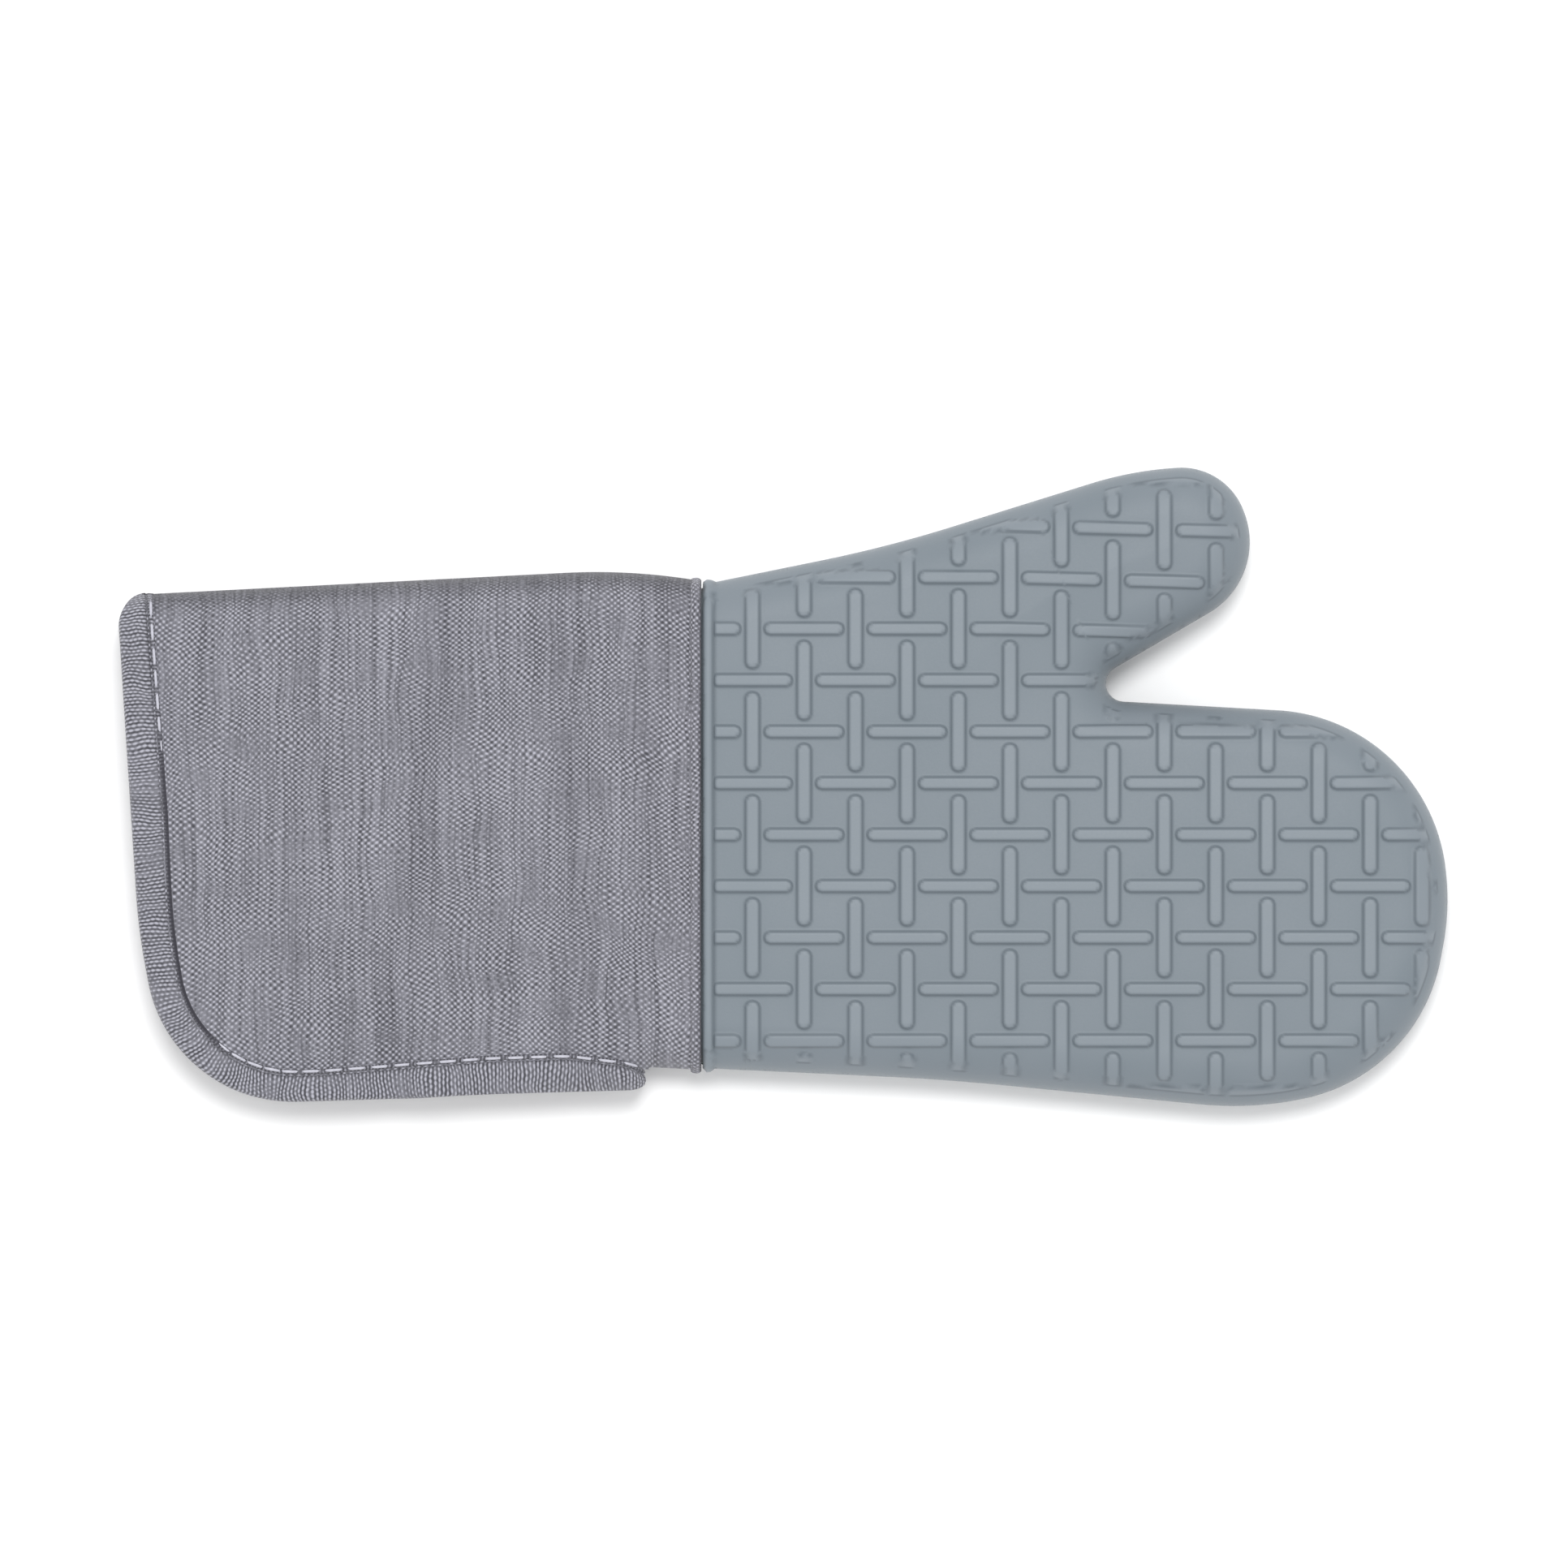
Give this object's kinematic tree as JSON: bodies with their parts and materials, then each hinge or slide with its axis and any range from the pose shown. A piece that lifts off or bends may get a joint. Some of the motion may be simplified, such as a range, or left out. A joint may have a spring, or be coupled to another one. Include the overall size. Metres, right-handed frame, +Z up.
{
  "type": "oven mitt",
  "caption": "Long oven mitt with a ribbed silicone hand and thumb, a quilted lining and a padded fabric cuff with a bound edge, lying flat.",
  "frame": {"origin": "on the surface the mitt lies on, under the middle of its outline", "axes": "+X from the cuff's mouth to the fingertips, +Y to the thumb side, +Z up"},
  "size_m": [0.3549, 0.1707, 0.0286],
  "materials": {
    "silicone": "matte moulded silicone",
    "wadding": "soft polyester wadding",
    "lining": "quilted cotton",
    "cuff_cloth": "plain weave cotton",
    "binding": "woven tape",
    "thread": "sewing thread"
  },
  "bodies": {
    "hand": {"palm_shell": "silicone", "palm_batting": "wadding", "palm_lining": "lining"},
    "fingers": {"finger_shell": "silicone", "finger_batting": "wadding", "finger_lining": "lining"},
    "thumb": {"thumb_shell": "silicone", "thumb_batting": "wadding", "thumb_lining": "lining"},
    "cuff": {"cuff_cloth": "cuff_cloth", "cuff_batting": "wadding", "cuff_lining": "lining", "edge_binding": "binding", "edge_topstitch": "thread", "seam_roll": "binding"}
  },
  "joints": [
    {"name": "cuff_fold", "type": "hinge", "parent": "hand", "child": "cuff", "pos_m": [-0.0219, 0, 0.0286], "axis": [0, 1, 0], "range_deg": [0, 90]},
    {"name": "finger_flex", "type": "hinge", "parent": "hand", "child": "fingers", "pos_m": [0.111, -0.03, 0.0286], "axis": [0, -1, 0], "range_deg": [0, 60], "stiffness_Nm_per_rad": 0.08},
    {"name": "thumb_flex", "type": "hinge", "parent": "hand", "child": "thumb", "pos_m": [0.0859, 0.0278, 0.0286], "axis": [0.3859, -0.9225, 0], "range_deg": [0, 50], "stiffness_Nm_per_rad": 0.04}
  ]
}
